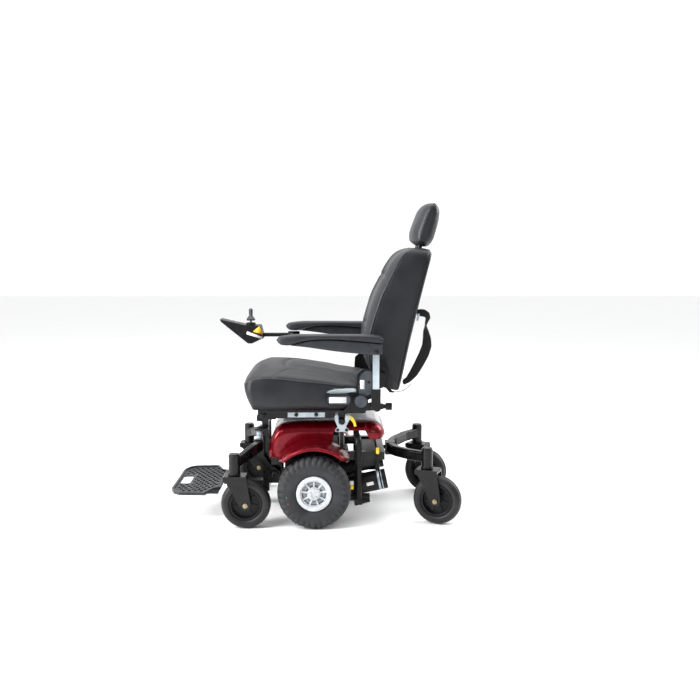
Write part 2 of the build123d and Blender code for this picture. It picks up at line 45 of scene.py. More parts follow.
CASTER_AXLE_HEIGHT = 87.5
BELT_Y = -153
CLOTH_FRAMES = 20
HELD_BAND = 4  # the cloth is held this far either side of a seam
SEAT_PANEL = 146  # half width of the seat's centre panel
SEAT_THIGH = -96  # its lengthwise seams start here
BACK_PANEL = 112


# ---- camera, light and floor -------------------------------------------------
def add_object(name, data):
    piece = bpy.data.objects.new(name, data)
    bpy.context.scene.collection.objects.link(piece)
    return piece


def make_camera():
    data = bpy.data.cameras.new("camera")
    data.lens = 45.08
    data.sensor_width = 36.0
    data.clip_end = 60
    camera = add_object("camera", data)
    camera.location = (0.09174, -3.28073, 0.9927)
    camera.rotation_euler = (math.radians(90 - 6.82), 0, math.radians(-0.66))
    bpy.context.scene.camera = camera


def area_light(name, place, target, size, power):
    data = bpy.data.lights.new(name, "AREA")
    data.shape = "RECTANGLE"
    data.size, data.size_y = size
    data.energy = power
    lamp = add_object(name, data)
    lamp.location = place
    aim = Vector(target) - Vector(place)
    lamp.rotation_euler = aim.to_track_quat("-Z", "Y").to_euler()


def add_node(tree, kind, **values):
    """A shader node; each value sets an input, or links it where the value is a socket."""
    node = tree.nodes.new("ShaderNode" + kind)
    for key, value in values.items():
        socket = node.inputs[key.replace("_", " ")]
        if isinstance(value, bpy.types.NodeSocket):
            tree.links.new(value, socket)
        else:
            socket.default_value = value
    return node


def set_ramp(ramp, *stops):
    for element, (position, colour) in zip(ramp.color_ramp.elements, stops):
        element.position = position
        element.color = (*colour, 1)


def make_studio():
    """White studio: dark behind the camera, bright above and beyond the chair."""
    scene = bpy.context.scene
    scene.view_settings.view_transform = "Standard"
    world = bpy.data.worlds.new("studio")
    world.use_nodes = True
    tree = world.node_tree
    sky = tree.nodes["Background"]
    sky.inputs["Strength"].default_value = 1.12
    place = add_node(tree, "TexCoord").outputs["Generated"]
    toward = add_node(tree, "VectorMath")
    toward.operation = "DOT_PRODUCT"
    toward.inputs[1].default_value = (0.0, 0.62, 0.78)
    tree.links.new(place, toward.inputs[0])
    spread = add_node(tree, "MapRange", From_Min=-1.0, Value=toward.outputs["Value"])
    ramp = add_node(tree, "ValToRGB", Fac=spread.outputs["Result"])
    set_ramp(ramp, (0.5, (0.34, 0.34, 0.35)), (0.8, (1, 1, 1)))
    tree.links.new(ramp.outputs["Color"], sky.inputs["Color"])
    scene.world = world
    area_light("key", (-1.9, -1.9, 2.9), (0, 0, 0.5), (1.2, 0.8), 60)
    area_light("fill", (1.4, -3.2, 1.0), (0.1, 0, 0.4), (1.2, 0.5), 7)
    area_light("top", (0.3, 0.5, 3.4), (0, 0, 0.4), (3.4, 2.2), 70)
    area_light("rear_rim", (2.6, 1.2, 1.8), (0.1, 0, 0.6), (1.0, 1.8), 55)
    area_light("front_rim", (-2.6, -1.3, 1.5), (0.1, 0, 0.7), (0.7, 1.7), 120)
    ends = (-FLOOR_HALF, FLOOR_HALF)
    floor = grid_mesh("floor", [[(x, y, 0) for x in ends] for y in ends])
    floor.data.materials.append(grained(
        "floor_paint", (0.985, 0.988, 0.99), 0.5, 60.0, 0.03, 0.001, (0.975, 0.98, 0.983),
        (0.992, 0.994, 0.996)))


# ---- mesh helpers ------------------------------------------------------------
def metres(points):
    return [tuple(v * MM for v in p) for p in points]


def grid_mesh(name, rows, close_rows=False, caps=False):
    """Quads over rows of points; a closed row is a ring, and caps shut the ends."""
    points = [p for row in rows for p in row]
    count = len(rows[0])
    faces = []
    for r in range(len(rows) - 1):
        for c in range(count if close_rows else count - 1):
            n = (c + 1) % count
            faces.append((r * count + c, r * count + n, (r + 1) * count + n, (r + 1) * count + c))
    if caps:
        for r in (0, len(rows) - 1):
            ring = rows[r]
            points.append(sum((Vector(p) for p in ring), Vector()) / count)
            for c in range(count):
                faces.append((len(points) - 1, r * count + c, r * count + (c + 1) % count))
    return mesh_object(name, points, faces)


def mesh_object(name, points, faces):
    """Object from points and faces, with doubled points joined and normals outward."""
    mesh = bpy.data.meshes.new(name)
    mesh.from_pydata([tuple(p) for p in points], [], faces)
    work = bmesh.new()
    work.from_mesh(mesh)
    bmesh.ops.remove_doubles(work, verts=work.verts, dist=1e-6)
    bmesh.ops.recalc_face_normals(work, faces=work.faces)
    work.to_mesh(mesh)
    work.free()
    return add_object(name, mesh)


def attach(piece, body, replaces=()):
    if replaces:
        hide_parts(*replaces)
    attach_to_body(piece, body)


def finish_piece(piece, material, body, replaces=(), smooth=True):
    for polygon in piece.data.polygons:
        polygon.use_smooth = smooth
    piece.data.materials.append(material)
    attach(piece, body, replaces)


def bevel(piece, width):
    modifier = piece.modifiers.new("bevel", "BEVEL")
    modifier.width = width
    modifier.segments = 3
    modifier.limit_method = "ANGLE"
    modifier.angle_limit = math.radians(35)
    modifier.harden_normals = True


def thicken(piece, thickness, offset):
    wall = piece.modifiers.new("wall", "SOLIDIFY")
    wall.thickness = thickness
    wall.offset = offset


def plate(name, outline, ys, material, body, edge):
    """An XZ outline in millimetres, extruded between two Y limits, with bevelled edges."""
    points = [(x * MM, y * MM, z * MM) for y in sorted(ys) for x, z in outline]
    count = len(outline)
    faces = [tuple(range(count)), tuple(range(2 * count - 1, count - 1, -1))]
    for c in range(count):
        n = (c + 1) % count
        faces.append((c, c + count, n + count, n))
    piece = mesh_object(name, points, faces)
    if edge:
        bevel(piece, edge)
    finish_piece(piece, material, body)


def rounded_outline(centre, width, height, radius, tilt=0.0):
    """Rounded rectangle in XZ, turned by tilt degrees."""
    turn = math.radians(tilt)
    points = []
    corners = ((1, 1, 0), (-1, 1, 90), (-1, -1, 180), (1, -1, 270))
    for sx, sz, start in corners:
        for k in range(6):
            angle = math.radians(start + 18 * k)
            x = sx * (width / 2 - radius) + radius * math.cos(angle)
            z = sz * (height / 2 - radius) + radius * math.sin(angle)
            points.append((centre[0] + x * math.cos(turn) - z * math.sin(turn),
                           centre[1] + x * math.sin(turn) + z * math.cos(turn)))
    return points


def axes_about(axis):
    """The unit axis and two unit directions square to it."""
    axis = Vector(axis).normalized()
    side = axis.orthogonal().normalized()
    return axis, side, axis.cross(side)


def band(inner, outer, low, high):
    """Square-edged (radius, along) section of a flat ring, in metres."""
    return [(inner, low), (outer, low), (outer, high), (inner, high)]


def turned(name, profile, centre, axis, steps, material, body, replaces=()):
    """Turn a closed (radius, along) profile about an axis, all in metres."""
    axis, side, other = axes_about(axis)
    rows = []
    for k in range(steps + 1):
        angle = 2 * math.pi * k / steps
        out = side * math.cos(angle) + other * math.sin(angle)
        rows.append([tuple(Vector(centre) + out * r + axis * a) for r, a in profile])
    finish_piece(grid_mesh(name, rows, close_rows=True), material, body, replaces)


def hex_bolt(name, centre, axis, radius, height, material, body):
    """Washer and hexagonal head standing along an axis; sizes in millimetres."""
    axis, side, other = axes_about(axis)
    base = Vector(centre) * MM
    rows = []
    levels = ((1.45, 0), (1.45, 0.18), (1.0, 0.18), (1.0, 0.88), (0.86, 1.0), (0.0, 1.0))
    for scale, level in levels:
        ring = []
        for k in range(24):
            angle = 2 * math.pi * k / 24
            reach = radius * scale
            if scale <= 1.0:
                part = (angle % (math.pi / 3)) - math.pi / 6
                reach *= 0.88 / math.cos(part)
            out = side * math.cos(angle) + other * math.sin(angle)
            ring.append(tuple(base + out * reach * MM + axis * height * level * MM))
        rows.append(ring)
    finish_piece(grid_mesh(name, rows, close_rows=True, caps=True), material, body,
                 smooth=False)


def smooth_between(x, table):
    """Read a short table of (x, value) pairs through a smooth curve without overshoot."""
    if x <= table[0][0]:
        return table[0][1]
    if x >= table[-1][0]:
        return table[-1][1]
    slopes = [(vb - va) / (b - a) for (a, va), (b, vb) in zip(table, table[1:])]
    i = 0
    while x > table[i + 1][0]:
        i += 1

    def tangent(k):
        if k == 0 or k == len(table) - 1:
            return slopes[min(k, len(slopes) - 1)]
        before, after = slopes[k - 1], slopes[k]
        return 0.0 if before * after <= 0 else 2 * before * after / (before + after)

    (a, va), (b, vb) = table[i], table[i + 1]
    width = b - a
    t = (x - a) / width
    return ((2 * t ** 3 - 3 * t ** 2 + 1) * va + (t ** 3 - 2 * t ** 2 + t) * width * tangent(i)
            + (3 * t ** 2 - 2 * t ** 3) * vb + (t ** 3 - t ** 2) * width * tangent(i + 1))


def tube_along(name, points, radius, material, body, replaces=()):
    """Round wire through points, all in metres."""
    curve = bpy.data.curves.new(name, "CURVE")
    curve.dimensions = "3D"
    curve.bevel_depth = radius
    curve.bevel_resolution = 4
    curve.use_fill_caps = True
    spline = curve.splines.new("NURBS")
    spline.points.add(len(points) - 1)
    for target, p in zip(spline.points, points):
        target.co = (*p, 1)
    spline.order_u = 3
    spline.use_endpoint_u = True
    curve.materials.append(material)
    attach(add_object(name, curve), body, replaces)


# ---- materials ---------------------------------------------------------------
def grained(name, colour, roughness, scale, bump, distance, dark, light, metallic=0.0,
            coat=0.0, sheen=0.0, specular=0.5, kind="noise", edge=0.0, gloss=None, worn=None):
    """Material with mottled colour, fine bump, roughness drift and worn edges."""
    material = bpy.data.materials.new(name)
    material.use_nodes = True
    tree = material.node_tree
    shader = tree.nodes["Principled BSDF"]
    link = tree.links.new
    settings = {"Base Color": (*colour, 1), "Roughness": roughness, "Metallic": metallic,
                "Coat Weight": coat, "Coat Roughness": 0.06, "Sheen Weight": sheen,
                "Specular IOR Level": specular}
    for socket, value in settings.items():
        shader.inputs[socket].default_value = value
    place = add_node(tree, "TexCoord").outputs["Object"]
    broad = add_node(tree, "TexNoise", Scale=max(scale / 40, 2.0), Detail=5, Vector=place)
    tint = add_node(tree, "ValToRGB", Fac=broad.outputs["Fac"])
    set_ramp(tint, (0.32, dark), (0.7, light))
    colour = tint.outputs["Color"]
    if edge:
        round_edge = add_node(tree, "Bevel", Radius=edge)
        round_edge.samples = 4
    if edge and worn:
        dot = add_node(tree, "VectorMath")
        dot.operation = "DOT_PRODUCT"
        link(round_edge.outputs["Normal"], dot.inputs[0])
        link(add_node(tree, "NewGeometry").outputs["Normal"], dot.inputs[1])
        mask = add_node(tree, "MapRange", From_Min=0.97, From_Max=0.82, To_Max=0.55,
                        Value=dot.outputs["Value"])
        mix = add_node(tree, "Mix")
        mix.data_type = "RGBA"
        link(mask.outputs["Result"], mix.inputs["Factor"])
        link(colour, mix.inputs["A"])
        mix.inputs["B"].default_value = (*worn, 1)
        colour = mix.outputs["Result"]
    link(colour, shader.inputs["Base Color"])
    if gloss:
        drift = add_node(tree, "MapRange", To_Min=gloss[0], To_Max=gloss[1],
                         Value=broad.outputs["Fac"])
        link(drift.outputs["Result"], shader.inputs["Roughness"])
    height = "Fac"
    if kind == "pebble":
        fine = add_node(tree, "TexVoronoi", Vector=place)
        fine.feature = "SMOOTH_F1"
        height = "Distance"
    elif kind == "weave":
        fine = add_node(tree, "TexWave", Distortion=0.6, Vector=place)
        fine.bands_direction = "DIAGONAL"
    else:
        fine = add_node(tree, "TexNoise", Detail=3, Vector=place)
    fine.inputs["Scale"].default_value = scale
    relief = add_node(tree, "Bump", Strength=bump, Distance=distance,
                      Height=fine.outputs[height])
    if edge:
        link(round_edge.outputs["Normal"], relief.inputs["Normal"])
    link(relief.outputs["Normal"], shader.inputs["Normal"])
    return material


# key: name, colour, roughness, grain size, bump, bump depth, dark tone, light tone, rest
MATERIALS = {
    "steel": ("black_powder_coat", (0.004, 0.004, 0.0045), 0.26, 1400, 0.22, 0.0002,
        (0.0025, 0.0025, 0.003), (0.006, 0.006, 0.0065), dict(coat=0.12, specular=0.2,
        edge=0.0016, gloss=(0.2, 0.34), worn=(0.06, 0.064, 0.068))),
    "bright": ("zinc_plate", (0.62, 0.66, 0.68), 0.38, 700, 0.18, 0.0002, (0.34, 0.4, 0.44),
        (0.56, 0.63, 0.67), dict(metallic=0.6, edge=0.001, gloss=(0.3, 0.48))),
    "silver": ("silver_paint", (0.78, 0.8, 0.82), 0.34, 900, 0.1, 0.0002, (0.4, 0.42, 0.44),
        (0.56, 0.585, 0.61), dict(coat=0.4, edge=0.0018, gloss=(0.25, 0.4))),
    "brass": ("yellow_zinc", (0.3, 0.24, 0.14), 0.4, 600, 0.2, 0.0002, (0.22, 0.17, 0.1),
        (0.36, 0.29, 0.17), dict(metallic=0.8, edge=0.0006)),
    "red": ("candy_red", (0.12, 0.0, 0.005), 0.34, 2600, 0.03, 0.0001, (0.12, 0.0, 0.004),
        (0.22, 0.0, 0.008), dict(metallic=0.6, coat=0.35, specular=0.15, gloss=(0.24, 0.34))),
    "panel": ("light_panel", (0.6, 0.61, 0.64), 0.3, 1800, 0.1, 0.0002, (0.52, 0.53, 0.56),
        (0.7, 0.71, 0.74), dict(coat=0.4, edge=0.003, gloss=(0.24, 0.4))),
    "moulded": ("moulded_black", (0.006, 0.006, 0.007), 0.36, 1600, 0.25, 0.0003,
        (0.003, 0.003, 0.004), (0.008, 0.008, 0.009), dict(specular=0.2, edge=0.0015,
        gloss=(0.3, 0.46))),
    "casting": ("motor_casting", (0.005, 0.005, 0.006), 0.4, 420, 0.5, 0.0007,
        (0.003, 0.003, 0.0035), (0.01, 0.01, 0.011), dict(specular=0.2, edge=0.002,
        gloss=(0.34, 0.56), worn=(0.04, 0.04, 0.042))),
    "tyre": ("tyre_rubber", (0.022, 0.023, 0.025), 0.62, 900, 0.35, 0.0004,
        (0.012, 0.0125, 0.014), (0.028, 0.029, 0.032), dict(specular=0.35, gloss=(0.5, 0.74))),
    "caster_rubber": ("caster_rubber", (0.01, 0.01, 0.011), 0.5, 1000, 0.35, 0.0003,
        (0.004, 0.004, 0.0045), (0.013, 0.013, 0.014), dict(specular=0.35, gloss=(0.36, 0.58))),
    "vinyl": ("grained_vinyl", (0.04, 0.041, 0.045), 0.46, 520, 0.24, 0.0005,
        (0.017, 0.0175, 0.02), (0.026, 0.027, 0.03), dict(coat=0.05, specular=0.3, kind="pebble",
        gloss=(0.42, 0.54))),
    # A darker copy of the seat vinyl: painted shade on the sides and rears of the cushions and on
    # the backrest's rear panel.
    "vinyl_side": ("grained_vinyl_side", (0.016, 0.017, 0.02), 0.44, 520, 0.24, 0.0006,
        (0.008, 0.0085, 0.0105), (0.014, 0.015, 0.018), dict(specular=0.3, kind="pebble",
        gloss=(0.36, 0.5))),
    "piping": ("vinyl_piping", (0.02, 0.021, 0.024), 0.38, 900, 0.3, 0.0003, (0.016, 0.017, 0.02),
        (0.026, 0.027, 0.031), {}),
    "pad": ("armrest_skin", (0.022, 0.025, 0.029), 0.46, 1100, 0.35, 0.0004,
        (0.011, 0.013, 0.0155), (0.019, 0.022, 0.026), dict(specular=0.3, kind="pebble",
        gloss=(0.38, 0.54))),
    "pad_shell": ("armrest_shell", (0.026, 0.03, 0.034), 0.46, 1500, 0.3, 0.0003,
        (0.015, 0.018, 0.022), (0.025, 0.029, 0.035), dict(specular=0.3, gloss=(0.36, 0.5))),
    "cover_grey": ("grey_trim", (0.05, 0.057, 0.066), 0.46, 1500, 0.3, 0.0003,
        (0.034, 0.04, 0.048), (0.05, 0.058, 0.068), dict(specular=0.3, edge=0.002,
        gloss=(0.38, 0.52))),
    "foot": ("footplate_moulding", (0.018, 0.019, 0.022), 0.36, 1300, 0.3, 0.0003,
        (0.012, 0.013, 0.015), (0.028, 0.03, 0.034), dict(specular=0.3, edge=0.0014,
        gloss=(0.28, 0.46), worn=(0.16, 0.17, 0.18))),
    "webbing": ("webbing", (0.004, 0.004, 0.0045), 0.7, 900, 0.6, 0.0006, (0.003, 0.003, 0.0035),
        (0.008, 0.008, 0.009), dict(sheen=0.08, specular=0.25, kind="weave", gloss=(0.6, 0.82))),
    "cable": ("grey_cable", (0.2, 0.21, 0.23), 0.4, 1500, 0.2, 0.0002, (0.17, 0.18, 0.2),
        (0.25, 0.26, 0.28), {}),
    "stick": ("stick_rubber", (0.03, 0.038, 0.045), 0.46, 1500, 0.35, 0.0003,
        (0.024, 0.031, 0.037), (0.038, 0.047, 0.055), dict(gloss=(0.38, 0.54))),
    "button": ("button_plastic", (0.3, 0.31, 0.33), 0.45, 1500, 0.2, 0.0002, (0.27, 0.28, 0.3),
        (0.34, 0.35, 0.37), dict(edge=0.0008)),
    "yellow": ("yellow_dip", (0.9, 0.66, 0.01), 0.36, 900, 0.15, 0.0002, (0.84, 0.58, 0.01),
        (0.94, 0.7, 0.015), dict(coat=0.3, edge=0.001)),
    "dish": ("rim_dish", (0.3, 0.34, 0.36), 0.4, 900, 0.15, 0.0002, (0.22, 0.26, 0.28),
        (0.36, 0.4, 0.42), {}),
    "blue_dot": ("blue_dot", (0.08, 0.22, 0.3), 0.5, 1200, 0.1, 0.0001, (0.06, 0.18, 0.25),
        (0.1, 0.27, 0.36), {}),
    "red_dot": ("red_dot", (0.5, 0.05, 0.03), 0.5, 1200, 0.1, 0.0001, (0.4, 0.03, 0.02),
        (0.6, 0.07, 0.05), {}),
    "orange": ("orange_film", (0.9, 0.42, 0.01), 0.4, 1200, 0.1, 0.0001, (0.86, 0.39, 0.01),
        (0.93, 0.46, 0.015), {}),
    "white": ("white_film", (0.85, 0.85, 0.84), 0.4, 1200, 0.1, 0.0001, (0.8, 0.8, 0.79),
        (0.88, 0.88, 0.87), {}),
    "case": ("battery_case", (0.012, 0.012, 0.014), 0.46, 1300, 0.25, 0.0003,
        (0.009, 0.009, 0.011), (0.017, 0.017, 0.02), dict(specular=0.3, edge=0.002)),
}


def make_materials():
    return {key: grained(*values, **rest) for key, (*values, rest) in MATERIALS.items()}


def sided(stem, labels=("left", "right")):
    return [f"{stem}_{label}" for label in labels]


CORNERS = ("front_left", "front_right", "rear_left", "rear_right")
CARRIED = {
    "steel": ["chassis_frame", "front_mast", "rear_beam", "seat_frame", "back_frame",
              *sided("front_arm"), *sided("caster_fork", CORNERS)],
    "bright": ["seat_saddles", "seat_rails", "armrest_uprights", "headrest_posts",
               "joystick_gimbal"],
    "silver": sided("drive_rim"),
    "case": ["batteries"],
    "casting": sided("drive_motor"),
    "panel": ["shroud_top_panel"],
    "moulded": ["controller_box", "motor_conduits", "controller_pod", "recliner_base_cover",
                "recline_lever", "recliner_cover", *sided("caster_hub", CORNERS),
                *sided("width_knob"), *sided("freewheel_lever")],
    "cable": ["belt_cable"],
    "button": ["power_button", "horn_button"],
    "yellow": ["seat_latch_lever"],
    "foot": ["footplate"],
    "stick": ["joystick"],
}


def paint_carried(m):
    """Give every CAD node that stays visible its own material."""
    for key, names in CARRIED.items():
        for name in names:
            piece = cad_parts[name]
            piece.data.materials.clear()
            piece.data.materials.append(m[key])


# ---- soft goods --------------------------------------------------------------
def groove(distance, width, depth):
    return depth * math.exp(-((distance / width) ** 2))


def wrinkle(point, scale, amount):
    return amount * noise.noise(Vector(point) * scale)


def power(value, exponent):
    """A power that keeps the sign."""
    return math.copysign(abs(value) ** exponent, value)


def flank(half, bulge, tuck):
    """(half width, share of the way up) of a side that bulges and tucks in at its foot."""
    steps = []
    for k in range(11):
        rise = k / 10
        inward = tuck * (1 - min(1, rise * 5)) ** 2
        steps.append((half + bulge * math.sin(math.pi * rise) - inward, rise))
    return steps


def lean_point(line, s, y, depth):
    """Metres, from s up a leaning line, y across and depth ahead of the line."""
    (x, z), (ax, az) = line
    return ((x + ax * s - az * depth) * MM, y * MM, (z + az * s + ax * depth) * MM)


def lean_place(line, p):
    """The s and depth of a point in millimetres."""
    (x, z), (ax, az) = line
    dx, dz = p.x - x, p.z - z
    return dx * ax + dz * az, dz * ax - dx * az


def dress(cushion, m, is_side, body, node):
    """Painted shade (a darker copy of the vinyl) where is_side says so, the seat vinyl elsewhere,
    and the frame's links.
    """
    cushion.data.materials.append(m["vinyl"])
    cushion.data.materials.append(m["vinyl_side"])
    for polygon in cushion.data.polygons:
        polygon.use_smooth = True
        if is_side(polygon.center / MM):
            polygon.material_index = 1
    attach(cushion, body, [node])


def settle(piece, hold, cap, rounds=0):
    """Swell a cover as pressurised cloth, held at its seams and base.

    Nothing moves further than cap millimetres; rounds evens the movement out."""
    scene = bpy.context.scene
    group = piece.vertex_groups.new(name="held")
    for vertex in piece.data.vertices:
        if hold(vertex.co / MM):
            group.add([vertex.index], 1.0, "REPLACE")
    cloth = piece.modifiers.new("cloth", "CLOTH")
    fabric = cloth.settings
    fabric.quality = 5
    fabric.mass = 0.3
    fabric.tension_stiffness = 12
    fabric.compression_stiffness = 12
    fabric.bending_stiffness = 1.5
    fabric.use_pressure = True
    fabric.uniform_pressure_force = 4
    fabric.vertex_group_mass = "held"
    fabric.effector_weights.gravity = 0
    cloth.collision_settings.use_collision = False
    cloth.point_cache.frame_start = 1
    cloth.point_cache.frame_end = CLOTH_FRAMES
    for number in range(1, CLOTH_FRAMES + 1):
        scene.frame_set(number)
    shaped = piece.evaluated_get(bpy.context.evaluated_depsgraph_get())
    places = [vertex.co.copy() for vertex in shaped.to_mesh().vertices]
    shaped.to_mesh_clear()
    piece.modifiers.remove(cloth)
    piece.vertex_groups.remove(group)
    moves = []
    for vertex, place in zip(piece.data.vertices, places):
        step = place - vertex.co
        moves.append(step * min(1.0, cap * MM / max(step.length, 1e-9)))
    for _ in range(rounds):
        total, count = [move.copy() for move in moves], [1] * len(moves)
        for edge in piece.data.edges:
            a, b = edge.vertices
            total[a] += moves[b]
            total[b] += moves[a]
            count[a] += 1
            count[b] += 1
        moves = [move / number for move, number in zip(total, count)]
    for vertex, move in zip(piece.data.vertices, moves):
        vertex.co += move
    scene.frame_set(1)


def seat_seams(x, y):
    """Distances from the lengthwise seam and from the seam behind the thighs."""
    lengthwise = abs(y) - (SEAT_PANEL + 0.06 * (x + 90))
    if abs(y) < SEAT_PANEL:
        return lengthwise, x + 112 - 26 * (y / SEAT_PANEL) ** 4
    return lengthwise, x + 86 + 0.75 * (abs(y) - SEAT_PANEL)


def seat_held(p):
    lengthwise, cross = seat_seams(p.x, p.y)
    return (p.z < smooth_between(p.x, SEAT_SEAM) + 1.5 or p.x < -246
            or abs(cross) < HELD_BAND or (p.x > SEAT_THIGH and abs(lengthwise) < HELD_BAND))


def back_seams(s, y):
    """Distances from the lengthwise, shoulder and lower seams."""
    return abs(y) - BACK_PANEL, s - 395 + 0.0009 * y * y, s - 190


def back_held(p):
    s, depth = lean_place(BACK_LINE, p)
    lengthwise, shoulder, lower = back_seams(s, p.y)
    return (depth < smooth_between(s, BACK_FRONT) + 1.5 or s < 2 or s > 500
            or min(abs(lengthwise), abs(shoulder)) < HELD_BAND
            or (lengthwise < 0 and abs(lower) < HELD_BAND))


def head_held(p):
    s, depth = lean_place(HEAD_LINE, p)
    front, rear = smooth_between(s, HEAD_FRONT), smooth_between(s, HEAD_REAR)
    return depth < rear + 0.45 * (front - rear) or s < 2 or s > 150


SEAT_BOTTOM = [(-250, 493), (-248, 480), (-241, 458), (-228, 430), (-214, 411.5),
               (109, 412.5), (150, 428), (206, 452)]
SEAT_SEAM = [(-250, 502), (-240, 508), (-218, 519), (-180, 526), (-130, 525), (-60, 518),
             (20, 510), (110, 499), (206, 490)]
SEAT_CROWN = [(-250, 8), (-247, 15), (-240, 22), (-226, 24), (-204, 26), (-165, 31), (-110, 33),
              (-60, 33), (0, 31), (60, 27), (130, 23), (206, 14)]
SEAT_HALF = [(-250, 186), (-246, 202), (-236, 216), (-218, 225), (-150, 229), (0, 229),
             (60, 227), (110, 224.5), (150, 222), (206, 217)]


def seat_cushion(m):
    """Seat with a crowned top, side bolsters and a cross seam behind the thighs."""
    rows, seams = [], ([], [])
    steps = 92
    for i in range(steps + 1):
        part = i / steps
        x = -250 + 456 * (part ** 1.25 if part < 1 else 1)
        low = smooth_between(x, SEAT_BOTTOM)
        seam = smooth_between(x, SEAT_SEAM)
        crown = smooth_between(x, SEAT_CROWN)
        half = smooth_between(x, SEAT_HALF)
        wall = flank(half, 5 - 2.5 * min(1, max(0, x / 80)), 12)
        row = [(x, -reach, low + (seam - low) * rise) for reach, rise in wall]
        for k in range(1, 64):
            t = -1 + 2 * k / 64
            y = half * t
            dome = (1 - abs(t) ** 3.2) ** 0.6
            bolster = 1 + 0.10 * math.exp(-(((abs(t) - 0.74) / 0.16) ** 2))
            dip = 0.08 * math.exp(-((t / 0.5) ** 2)) * min(1, max(0, (x + 120) / 100))
            z = seam + crown * dome * (bolster - dip)
            lengthwise, cross = seat_seams(x, y)
            if x > SEAT_THIGH:
                z -= groove(lengthwise, 4.5, 5) * min(1, (x - SEAT_THIGH) / 20)
            z -= groove(cross, 5, 7) if abs(y) < SEAT_PANEL else groove(cross, 4, 5.5)
            z += wrinkle((x * 0.9, y * 0.9, 3), 0.022, 1.6)
            row.append((x, y, z))
        row += [(x, reach, low + (seam - low) * rise) for reach, rise in reversed(wall)]
        for k in range(1, 12):
            t = 1 - 2 * k / 12
            row.append((x, (half - 12) * t, low))
        rows.append(metres(row))
        if x > -246:
            for line, (_, side) in zip(seams, SIDES):
                line.append((x * MM, side * (half + 0.5) * MM, (seam + 0.5) * MM))
    cushion = grid_mesh("seat_cushion_cover", rows, close_rows=True, caps=True)
    settle(cushion, seat_held, 7)
    # The flanks below the seam get the darker vinyl copy: painted shade.
    dress(cushion, m, lambda p: p.z < smooth_between(p.x, SEAT_SEAM) - 1.5, "seat",
          "seat_cushion")
    for (name, _), line in zip(SIDES, seams):
        tube_along(f"seat_piping_{name}", [p for p in line[::3] if p[0] < 0.115], 0.0019,
                   m["piping"], "seat")
    front_line = [(-0.2495 - 0.0015 * (1 - t * t), t * 0.186, 0.5015)
                  for t in (-1, -0.5, 0, 0.5, 1)]
    tube_along("seat_piping_front", front_line, 0.0016, m["piping"], "seat")


# A leaning line: its foot in XZ and its unit direction.
BACK_LINE = ((305, 480), (0.230, 0.973))
BACK_FRONT = [(-4, 60), (12, 84), (41, 111), (110, 141), (170, 150), (290, 143), (373, 127),
              (448, 108), (480, 92), (498, 70), (505, 50), (508, 34)]
BACK_REAR = [(-4, 10), (200, 15), (300, 14.6), (460, 10.5), (508, 10)]
BACK_TAIL = [(-4, 1.5), (60, 2.5), (200, 5.4), (303, 5.0), (420, 3), (494, 0.5), (508, 4)]
BACK_CROWN = [(-4, 0), (40, 10), (110, 22), (290, 25), (400, 24), (460, 18), (495, 7), (508, 1)]
BACK_HALF = [(-4, 196), (30, 204), (250, 205), (400, 200), (470, 188), (495, 174), (508, 150)]


def back_point(s, y, depth):
    return lean_point(BACK_LINE, s, y, depth)


def backrest(m):
    """Backrest with bolstered edges, a stitched centre panel and a shoulder seam."""
    rows, seams = [], ([], [])
    steps = 84
    for i in range(steps + 1):
        s = -4 + 512 * i / steps
        front = smooth_between(s, BACK_FRONT)
        rear = smooth_between(s, BACK_REAR)
        crown = smooth_between(s, BACK_CROWN)
        half = smooth_between(s, BACK_HALF)
        wall = flank(half, 5, 3)
        row = [back_point(s, -reach, rear + (front - rear) * rise) for reach, rise in wall]
        for k in range(1, 56):
            t = -1 + 2 * k / 56
            y = half * t
            dome = (1 - abs(t) ** 4) ** 0.55
            bolster = math.exp(-(((abs(t) - 0.72) / 0.26) ** 2))
            depth = front + crown * dome * (0.45 + 0.6 * bolster)
            lengthwise, shoulder, lower = back_seams(s, y)
            depth -= groove(lengthwise, 4.5, 5) * min(1, max(0, s / 60))
            depth -= groove(shoulder, 5, 6)
            if lengthwise < 0:
                depth -= groove(lower, 5, 4)
            depth += wrinkle((s * 0.8, y * 0.8, 9), 0.02, 1.6)
            row.append(back_point(s, y, depth))
        row += [back_point(s, reach, rear + (front - rear) * rise)
                for reach, rise in reversed(wall)]
        for k in range(1, 10):
            t = 1 - 2 * k / 10
            row.append(back_point(s, (half - 3) * t, rear))
        rows.append(row)
        for line, (_, side) in zip(seams, SIDES):
            line.append(back_point(s, side * (half + 0.5), front + 0.5))
    cushion = grid_mesh("backrest_cover", rows, close_rows=True, caps=True)
    settle(cushion, back_held, 7)

    # Faces behind the front seam get the darker vinyl copy: painted shade.
    def is_side(p):
        s, depth = lean_place(BACK_LINE, p)
        return depth < smooth_between(s, BACK_FRONT) - 1.5

    dress(cushion, m, is_side, "backrest", "backrest_cushion")
    for (name, _), line in zip(SIDES, seams):
        tube_along(f"backrest_piping_{name}", line[2::3], 0.0017, m["piping"], "backrest")
    rear_panel(m, steps)


def rear_panel(m, steps):
    """Vinyl back of the backrest, with a rolled edge."""
    rows = []
    for i in range(steps + 1):
        s = -4 + 508 * i / steps
        inner, outer = smooth_between(s, BACK_REAR) - 0.4, smooth_between(s, BACK_TAIL)
        half = smooth_between(s, BACK_HALF) - 2.4
        end = min(1.0, (s + 4) / 6, (504 - s) / 12)
        outer = inner - (inner - outer) * (0.25 + 0.75 * math.sqrt(max(0, 1 - (1 - end) ** 2)))
        roll = []
        for k in range(6):
            angle = math.radians(18 * k)
            roll.append((half - 20 * (1 - math.cos(angle)),
                         inner - (inner - outer) * math.sin(angle)))
        row = [back_point(s, -reach, depth) for reach, depth in roll]
        row += [back_point(s, (half - 20) * (-1 + k / 6), outer) for k in range(1, 12)]
        row += [back_point(s, reach, depth) for reach, depth in reversed(roll)]
        rows.append(row)
    tail = grid_mesh("backrest_rear_panel", rows, close_rows=True, caps=True)
    # The rear panel is the darker vinyl copy: painted shade.
    finish_piece(tail, m["vinyl_side"], "backrest", ["backrest_rear_cover"])


